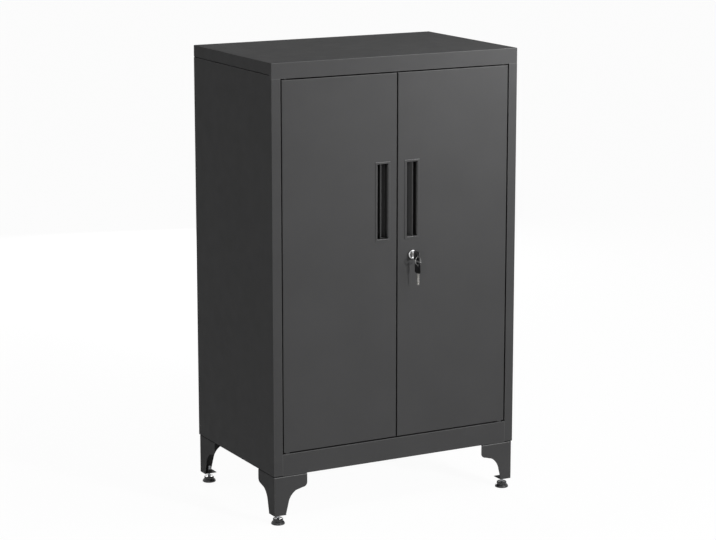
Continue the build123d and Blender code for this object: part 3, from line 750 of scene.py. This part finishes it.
# %% [markdown]
# The foot's stud is an M6 screw with a 1 mm pitch.  A thread is one small profile wound up
# along a helix, over a plain core with turned ends.  Modelling it once and copying it keeps
# all four the same.

# %% Threaded studs
STUD_RADIUS = 2.6 * MM
STUD_FOOT_RADIUS = 2.1 * MM
STUD_HEAD_RADIUS = 2.0 * MM
STUD_TAPER = 0.6 * MM
THREAD_PITCH = 1 * MM
THREAD_WIRE = (0.8 * MM, 0.9 * MM)


def make_stud(name, bottom, top):
    profile = [
        (STUD_FOOT_RADIUS, bottom), (STUD_RADIUS, bottom + STUD_TAPER),
        (STUD_RADIUS, top - STUD_TAPER), (STUD_HEAD_RADIUS, top),
    ]
    core = lathe(name + "_core", profile, sides=32)
    turns = math.floor((top - bottom) / THREAD_PITCH) - 2
    thread = coil(
        name + "_thread", STUD_RADIUS, THREAD_WIRE, THREAD_PITCH, turns, steps=24, sides=4
    )
    move_into_place(thread, (0, 0, 0), (0, 0, bottom + THREAD_PITCH))
    return join([core, thread], name)


stud_low, stud_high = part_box("front_left_foot_stud")
stud_pattern = make_stud("stud_pattern", stud_low.z, stud_high.z)
for corner in corners:
    low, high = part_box(corner + "_foot_stud")
    middle = (low + high) / 2
    stud = copy_piece(stud_pattern, corner + "_threaded_stud")
    move_into_place(stud, (0, 0, 0), (middle.x, middle.y, 0))
    smooth_shading()
    dress(stud, zinc, corner + "_stud", "zinc_plated_steel", corner + "_foot_stud")
bpy.data.objects.remove(stud_pattern, do_unlink=True)

# %% [markdown]
# Holes, flats and notches are cut with a second piece, as a drill or a mill would: the
# Boolean modifier takes the tool's shape away, or keeps only what lies inside it, and the
# tool is thrown away.

# %% Cutting
def add_rod(name, base, top, radius, sides=64):
    """A cylinder from base to top along any one axis."""
    deselect()
    base, top = Vector(base), Vector(top)
    turn = (top - base).to_track_quat("Z", "Y").to_euler()
    length = (top - base).length
    bpy.ops.mesh.primitive_cylinder_add(
        vertices=sides, radius=radius, depth=length, location=(base + top) / 2, rotation=turn
    )
    return settle(name)


def cut(piece, tool, operation="DIFFERENCE"):
    """Cut, or keep only, the part of a piece inside a tool, and remove the tool."""
    edit_only(piece)
    boolean = piece.modifiers.new("cut", "BOOLEAN")
    boolean.operation = operation
    boolean.solver = "EXACT"
    boolean.object = tool
    bpy.ops.object.modifier_apply(modifier=boolean.name)
    bpy.data.objects.remove(tool, do_unlink=True)


# %% [markdown]
# The cam lock's housing is a die-cast barrel with a round collar on the door's face and a
# coarse thread with two flats behind it.  The barrel is turned in one go from its tail to the
# door's face, its thread as plain rings, and a block leaves the two flats.  The collar is
# turned by itself, and a rod bores both for the plug.

# %% Lock housing
BARREL_TAIL = 7.2 * MM
TAIL_TAPER = 0.5 * MM
PLAIN_NECK = 2 * MM
RING_ROOT = 7.6 * MM
RING_CREST = 8.0 * MM
RING_SPACING = 1 * MM
FLAT_REACH = 7 * MM
PLUG_BORE = 5.55 * MM
OVERLAP = 0.01 * MM  # the barrel reaches this far into the collar
CLEAR = 1 * MM       # a tool sticks out by this much where it leaves the piece
WIDE = 20 * MM       # and by more than enough to its sides


def make_barrel(length):
    """The threaded barrel with its two flats, from its tail up to the door's face."""
    profile = [(BARREL_TAIL, 0), (RING_ROOT, TAIL_TAPER)]
    for ring in range(int((length - PLAIN_NECK) / RING_SPACING)):
        profile += [
            (RING_CREST, (ring + 1.0) * RING_SPACING), (RING_ROOT, (ring + 1.5) * RING_SPACING),
        ]
    profile += [(RING_ROOT, length + OVERLAP)]
    barrel = lathe("lock_housing_detail", profile)
    low = (-FLAT_REACH, -WIDE, -CLEAR)
    high = (FLAT_REACH, WIDE, length + CLEAR)
    cut(barrel, add_block("flats", low, high), "INTERSECT")
    return barrel


def make_collar(face, front):
    """The domed collar, from the door's face to the front of the lock."""
    rim = front - 1.1 * MM
    return lathe(
        "collar",
        [
            (9.9 * MM, face), (10.25 * MM, face + 0.3 * MM), (10.25 * MM, face + 1.4 * MM),
            (9.9 * MM, rim - 0.3 * MM), (9.2 * MM, rim + 0.6 * MM),
            (8.2 * MM, front - 0.1 * MM), (7.4 * MM, front),
            (6.6 * MM, front - 0.15 * MM), (6.1 * MM, front - 0.6 * MM),
        ],
    )


def make_lock_housing():
    low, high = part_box("lock_housing")
    axis = (low + high) / 2
    face = high.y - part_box("right_door_panel")[0].y
    front = high.y - low.y
    barrel, collar = make_barrel(face), make_collar(face, front)
    for piece in (barrel, collar):
        cut(piece, add_rod("bore", (0, 0, -CLEAR), (0, 0, front + CLEAR), PLUG_BORE))
    housing = join([barrel, collar], "lock_housing_detail")
    move_into_place(housing, (90, 0, 0), (axis.x, high.y, axis.z))
    smooth_shading()
    return housing


dress(make_lock_housing(), chrome, "right_door", "polished_chrome", "lock_housing")

# %% [markdown]
# A key is a stamped and milled nickel blade with a plastic head moulded over one end.  The
# head is a thin block with rounded corners, a panel sunk into each side for the thumb, and a
# hole for the ring.  It is modelled lying along Y with the hole at the origin, so that the
# hole's place is all that is needed to hang it up.

# %% Key heads
HEAD_LENGTH = 24 * MM
HEAD_WIDTH = 20 * MM
HEAD_THICK = 2.8 * MM
HEAD_CORNER = 5 * MM
HEAD_RIM = 1.8 * MM
HEAD_ROUNDING = 0.3 * MM
PANEL_SHARE = 0.72        # the sunk panels' share of the head's thickness
HOLE_INSET = 6.5 * MM
HOLE_RADIUS = 2.75 * MM
DRILL_REACH = 5 * MM
HEAD_END = HEAD_LENGTH - HOLE_INSET


def make_key_head(name):
    half, side = HEAD_THICK / 2, HEAD_WIDTH / 2
    piece = add_block(name, (-half, -HOLE_INSET, -side), (half, HEAD_END, side))
    pick_edges(piece, lambda first, second: abs(first.x - second.x) > half)
    bpy.ops.mesh.bevel(offset=HEAD_CORNER, segments=8, affect="EDGES")
    leave_edit()
    pick_faces(piece, lambda centre, normal: abs(normal.x) > FACING)
    bpy.ops.mesh.inset(thickness=HEAD_RIM, depth=0)
    widen(PANEL_SHARE, (0, 0, 0))
    leave_edit()
    cut(piece, add_rod("hole", (-DRILL_REACH, 0, 0), (DRILL_REACH, 0, 0), HOLE_RADIUS, sides=40))
    round_edges(piece, HEAD_ROUNDING, segments=2, angle=40)
    return piece


# %% [markdown]
# The blade is a strip with a groove milled along both sides and five V cuts in one edge, and
# its root is hidden in the head.  The groove is an inset that is pushed in.  A block turned
# by 45 degrees has a V for its upper corner, so it is the cutter for each notch.

# %% Key blades
BLADE_LENGTH = 26 * MM
BLADE_WIDTH = 6.2 * MM
BLADE_THICK = 1.8 * MM
BLADE_ROOT = 10 * MM      # the blade's length inside the head
BLADE_ROUNDING = 0.08 * MM
TIP_BEVEL = 1.5 * MM
GROOVE_LOW, GROOVE_HIGH = -0.4 * MM, 1.2 * MM
GROOVE_MARGIN = 0.15 * MM
GROOVE_DEPTH = 0.35 * MM
CUT_DEPTHS = (1.5 * MM, 0.8 * MM, 1.9 * MM, 1.1 * MM, 1.6 * MM)
CUT_PITCH = 4.0 * MM
CUT_SETBACK = 1 * MM
CUTTER_HALF = 1.1 * MM
CUTTER_REACH = 2 * MM


def mill_groove(piece):
    """Split the blade's sides along the groove's two lines and sink what lies between."""
    for level in (GROOVE_LOW, GROOVE_HIGH):
        edit_only(piece)
        bpy.ops.object.mode_set(mode="EDIT")
        bpy.ops.mesh.select_all(action="SELECT")
        bpy.ops.mesh.bisect(plane_co=(0, 0, level), plane_no=(0, 0, 1))
        leave_edit()
    in_groove = lambda centre: GROOVE_LOW < centre.z < GROOVE_HIGH
    pick_faces(piece, lambda centre, normal: abs(normal.x) > FACING and in_groove(centre))
    bpy.ops.mesh.inset(thickness=GROOVE_MARGIN, depth=-GROOVE_DEPTH)
    leave_edit()


def cut_notches(piece, edge, tip):
    """Cut the V notches up from the blade's lower edge, counted from its tip."""
    corner = (CUTTER_REACH, CUTTER_HALF, CUTTER_HALF)
    reach = CUTTER_HALF * math.sqrt(2)
    for number, depth in enumerate(CUT_DEPTHS):
        middle = tip - (number + 1) * CUT_PITCH - CUT_SETBACK
        cutter = add_block("notch", [-share for share in corner], corner)
        move_into_place(cutter, (45, 0, 0), (0, middle, edge + depth - reach))
        cut(piece, cutter)


def make_key_blade(name):
    half, side = BLADE_THICK / 2, BLADE_WIDTH / 2
    tip = HEAD_END + BLADE_LENGTH
    piece = add_block(name, (-half, HEAD_END - BLADE_ROOT, -side), (half, tip, side))
    mill_groove(piece)
    cut_notches(piece, -side, tip)
    at_corner = lambda point: point.y > tip - SAME and abs(point.z) > 0.9 * side
    crosses = lambda first, second: abs(first.x - second.x) > half
    pick_edges(piece, lambda first, second: at_corner(first) and crosses(first, second))
    bpy.ops.mesh.bevel(offset=TIP_BEVEL, segments=1, affect="EDGES")
    leave_edit()
    round_edges(piece, BLADE_ROUNDING, segments=1, angle=40)
    return piece


# %% [markdown]
# One key stands in the lock, and its spare hangs on the ring with its blade down, turned a
# little to the side.  Each is made of a head and a blade that share one place and one turn.

# %% Both keys
SPARE_TURN = 9     # degrees, about the upright axis through its hole
key_low, key_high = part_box("key_head")
hole = Vector(((key_low.x + key_high.x) / 2, key_low.y + HOLE_INSET, (key_low.z + key_high.z) / 2))
spare_hole = Vector((hole.x, hole.y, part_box("spare_key_head")[1].z - HOLE_INSET))
for name, body, turn, place in (
    ("key", "lock_core", (0, 0, 0), hole),
    ("spare_key", "spare_key", (-90, 0, SPARE_TURN), spare_hole),
):
    head = move_into_place(make_key_head(name + "_head_moulding"), turn, place)
    dress(head, black_plastic, body, "black_plastic", name + "_head")
    blade = move_into_place(make_key_blade(name + "_blade_cut"), turn, place)
    dress(blade, nickel, body, "nickel_plated_steel", name + "_blade")

# %% [markdown]
# The split ring is two turns of flat spring wire pressed together, so it is a short coil.

# %% Split ring
SPLIT_RING_RADIUS = 8.6 * MM
SPLIT_RING_WIRE = (1.5 * MM, 0.72 * MM)
SPLIT_RING_PITCH = 0.74 * MM
SPLIT_RING_TURN = 19     # degrees, about the upright axis
ring_low, ring_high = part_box("key_ring")
ring = coil(
    "split_ring", SPLIT_RING_RADIUS, SPLIT_RING_WIRE, SPLIT_RING_PITCH, turns=2, steps=48, sides=12
)
move_into_place(ring, (0, 0, 0), (0, 0, -SPLIT_RING_PITCH))
move_into_place(ring, (90, 0, SPLIT_RING_TURN), (ring_low + ring_high) / 2)
smooth_shading(40)
dress(ring, spring, "key_ring", "nickel_plated_steel", "key_ring")

# %% [markdown]
# A catalogue studio for dark steel is simple: a white sweep, soft lamps and a little
# daylight from all round.  A floor lit only by lamps would be grey in its shadows.  So the
# floor and the world look white to the camera and in reflections, which a Light Path node
# tells apart, while the light that they shed on the cabinet stays moderate.

# %% Floor and world
scene = bpy.context.scene
scene.view_settings.view_transform = "Standard"
FLOOR_SIZE = 60             # metres
FLOOR_GREY = (0.75, 0.75, 0.75, 1)
FLOOR_ROUGHNESS = 0.9
FLOOR_GLOSS = 0.1
FLOOR_GLOW = 1.1
FLOOR_GLOW_SHARE = 0.86     # the rest is the grey, which keeps a faint shadow
WHITE = (1, 1, 1, 1)
WORLD_SHED = 0.2
WORLD_SEEN = 1.0


def seen_rays(tree):
    """One for rays from the camera and in reflections, and nought for the light shed."""
    path = tree.nodes.new("ShaderNodeLightPath")
    kinds = ("Is Camera Ray", "Is Glossy Ray", "Is Transmission Ray")
    return combine(tree, "MAXIMUM", *(path.outputs[kind] for kind in kinds))


def mix_shaders(tree, amount, first, second, output):
    """Show the first shader where the amount is nought and the second where it is one."""
    blend = tree.nodes.new("ShaderNodeMixShader")
    for number, socket in enumerate((amount, first.outputs[0], second.outputs[0])):
        tree.links.new(socket, blend.inputs[number])
    tree.links.new(blend.outputs[0], tree.nodes[output].inputs["Surface"])


def make_floor():
    """A pale matte floor that shines by itself to the camera and keeps a faint shadow."""
    deselect()
    bpy.ops.mesh.primitive_plane_add(size=FLOOR_SIZE, location=(0, 0, 0))
    floor = settle("floor")
    material = bpy.data.materials.new("floor_white")
    material.use_nodes = True
    tree = material.node_tree
    matte = tree.nodes["Principled BSDF"]
    matte.inputs["Base Color"].default_value = FLOOR_GREY
    matte.inputs["Roughness"].default_value = FLOOR_ROUGHNESS
    matte.inputs["Specular IOR Level"].default_value = FLOOR_GLOSS
    glow = tree.nodes.new("ShaderNodeEmission")
    glow.inputs["Strength"].default_value = FLOOR_GLOW
    share = ramp(tree, seen_rays(tree), 0, 1, 0, FLOOR_GLOW_SHARE)
    mix_shaders(tree, share, matte, glow, "Material Output")
    floor.data.materials.append(material)
    floor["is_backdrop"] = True
    print("floor", FLOOR_SIZE, "metres wide")


def make_world():
    """An even white world that sheds less light than it shows."""
    world = bpy.data.worlds.new("studio")
    scene.world = world
    world.use_nodes = True
    tree = world.node_tree
    shed = tree.nodes["Background"]
    seen = tree.nodes.new("ShaderNodeBackground")
    for light, strength in ((shed, WORLD_SHED), (seen, WORLD_SEEN)):
        light.inputs["Color"].default_value = WHITE
        light.inputs["Strength"].default_value = strength
    mix_shaders(tree, seen_rays(tree), shed, seen, "World Output")


make_floor()
make_world()

# %% [markdown]
# The key lamp stands close, at the top right of the doors, so its light falls off across
# them.  The front lamp stands well back and casts the keys' shadow, the fill lamp lights the
# left side, and the back lamp keeps the back panel readable.  All four are square areas and
# not points, because a wide source gives its shadow a soft edge.

# %% Lamps
def add_lamp(name, place, aim, size, watts):
    """A square lamp at a place, turned to the point that it aims at."""
    data = bpy.data.lights.new(name, "AREA")
    data.shape = "SQUARE"
    data.size = size
    data.energy = watts
    lamp = bpy.data.objects.new(name, data)
    lamp.visible_camera = False
    scene.collection.objects.link(lamp)
    lamp.location = place
    lamp.rotation_euler = (Vector(aim) - Vector(place)).to_track_quat("-Z", "Y").to_euler()


add_lamp("key", place=(0.52, -0.74, 1.20), aim=(0.24, -0.17, 1.40), size=0.4, watts=5.8)
add_lamp("front", place=(1.05, -3.2, 1.10), aim=(0, -0.17, 0.55), size=0.3, watts=52)
add_lamp("fill", place=(-2.1, -2.6, 1.1), aim=(0, 0, 0.5), size=0.8, watts=10.5)
add_lamp("back", place=(0.9, 3.0, 0.6), aim=(0, 0.2, 0.5), size=0.7, watts=24)
print("lit by", len(bpy.data.lights), "lamps and the world")

# %% [markdown]
# The camera stands about five metres away, half a metre above the cabinet's top and to its
# left, with a long lens so that the sides stay nearly parallel.  A small lens shift takes up
# the last half degree of its tilt, because a tilt makes upright edges lean together and a
# shift doesn't.

# %% Camera
CAMERA_PLACE = (-2.405, -4.440, 1.570)
CAMERA_TILT = 11.453        # degrees down from level
CAMERA_TURN = 28.43         # degrees to the right of the Y axis
CAMERA_LENS = 116.3         # millimetres
CAMERA_SENSOR = 36          # millimetres across
CAMERA_SHIFT = -0.028       # a share of the sensor's width

camera_data = bpy.data.cameras.new("camera")
camera_data.lens = CAMERA_LENS
camera_data.sensor_width = CAMERA_SENSOR
camera_data.shift_y = CAMERA_SHIFT
camera_data.clip_end = FLOOR_SIZE
camera = bpy.data.objects.new("camera", camera_data)
scene.collection.objects.link(camera)
camera.location = CAMERA_PLACE
camera.rotation_euler = (math.radians(90 - CAMERA_TILT), 0, -math.radians(CAMERA_TURN))
scene.camera = camera
print("camera at", CAMERA_PLACE)

# %% [markdown]
# Last, the dressed cabinet's box is measured and printed.  It should agree with the imported
# one's, because detail that stands proud of the imported solids would give a wrong size.

low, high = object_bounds()
print("visual box", [round(v, 4) for v in (*low, *high)])
